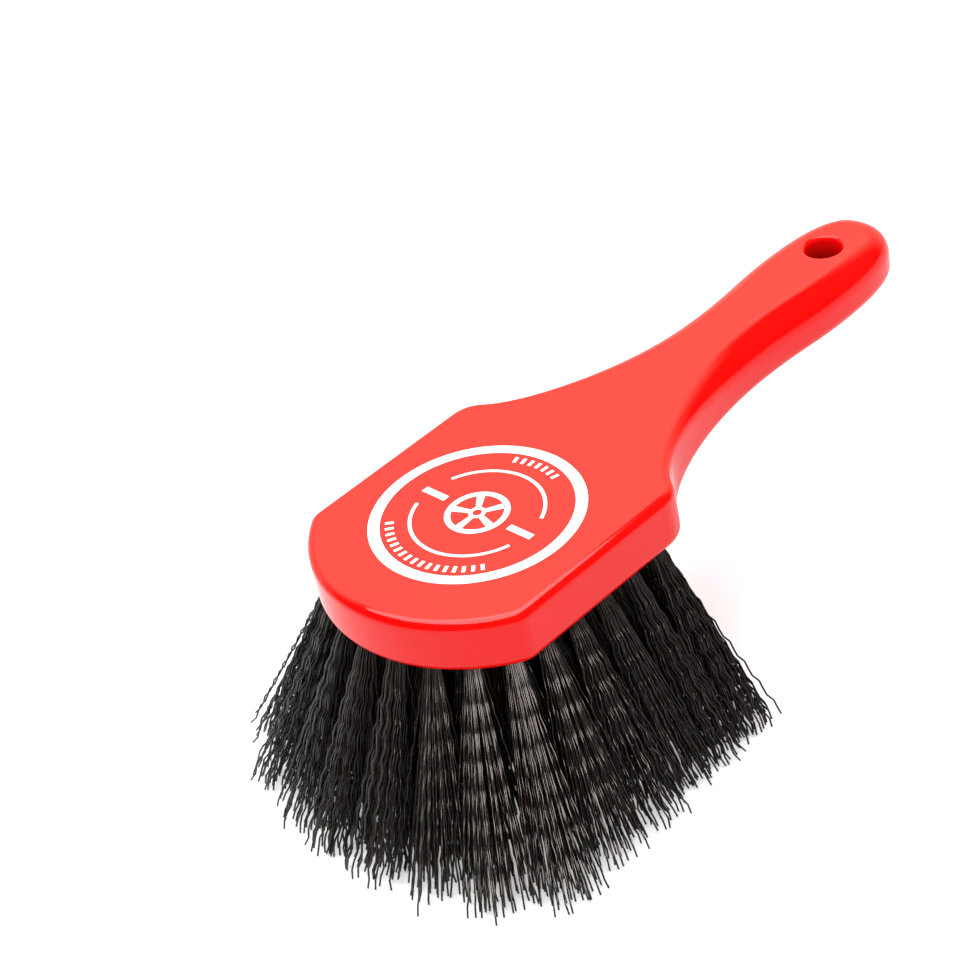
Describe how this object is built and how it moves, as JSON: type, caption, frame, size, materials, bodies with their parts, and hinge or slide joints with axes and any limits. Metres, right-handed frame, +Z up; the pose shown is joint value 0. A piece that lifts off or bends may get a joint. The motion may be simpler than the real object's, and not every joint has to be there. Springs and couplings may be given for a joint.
{
  "type": "wheel brush",
  "caption": "Hand-held wheel and carpet scrubbing brush: lacquered wooden head and handle in one block, black crimped bristle tufts that fan out to a flat trim, and a hang hole in the handle.",
  "frame": {"origin": "on the trimmed tips of the bristles, on the brush's mirror plane under the middle of the head, at the mount scrubbing_face", "axes": "+X along the handle towards its end, +Y across the head, +Z up from the bristle tips to the top of the block"},
  "size_m": [0.24, 0.123, 0.073],
  "materials": {
    "red_lacquered_wood": "wood under thick gloss red lacquer, rounded edges",
    "black_filament": "crimped black polypropylene filament, satin",
    "staple_steel": "flat galvanised staple wire",
    "print_ink": "white screen-printed ink under the gloss"
  },
  "bodies": {
    "root": {"block": "red_lacquered_wood", "tuft_rim_01": "black_filament", "tuft_rim_02": "black_filament", "tuft_rim_03": "black_filament", "tuft_rim_04": "black_filament", "tuft_rim_05": "black_filament", "tuft_rim_06": "black_filament", "tuft_rim_07": "black_filament", "tuft_rim_08": "black_filament", "tuft_rim_09": "black_filament", "tuft_rim_10": "black_filament", "tuft_rim_11": "black_filament", "tuft_rim_12": "black_filament", "tuft_rim_13": "black_filament", "tuft_rim_14": "black_filament", "tuft_rim_15": "black_filament", "tuft_rim_16": "black_filament", "tuft_rim_17": "black_filament", "tuft_rim_18": "black_filament", "tuft_rim_19": "black_filament", "tuft_rim_20": "black_filament", "tuft_rim_21": "black_filament", "tuft_rim_22": "black_filament", "tuft_rim_23": "black_filament", "tuft_rim_24": "black_filament", "tuft_middle_01": "black_filament", "tuft_middle_02": "black_filament", "tuft_middle_03": "black_filament", "tuft_middle_04": "black_filament", "tuft_middle_05": "black_filament", "tuft_middle_06": "black_filament", "tuft_middle_07": "black_filament", "tuft_middle_08": "black_filament", "tuft_middle_09": "black_filament", "tuft_middle_10": "black_filament", "tuft_middle_11": "black_filament", "tuft_middle_12": "black_filament", "tuft_middle_13": "black_filament", "tuft_middle_14": "black_filament", "tuft_middle_15": "black_filament", "tuft_middle_16": "black_filament", "tuft_inner_01": "black_filament", "tuft_inner_02": "black_filament", "tuft_inner_03": "black_filament", "tuft_inner_04": "black_filament", "tuft_inner_05": "black_filament", "tuft_inner_06": "black_filament", "tuft_inner_07": "black_filament", "tuft_inner_08": "black_filament", "tuft_inner_09": "black_filament", "tuft_inner_10": "black_filament", "tuft_core_01": "black_filament", "tuft_core_02": "black_filament"}
  },
  "joints": []
}
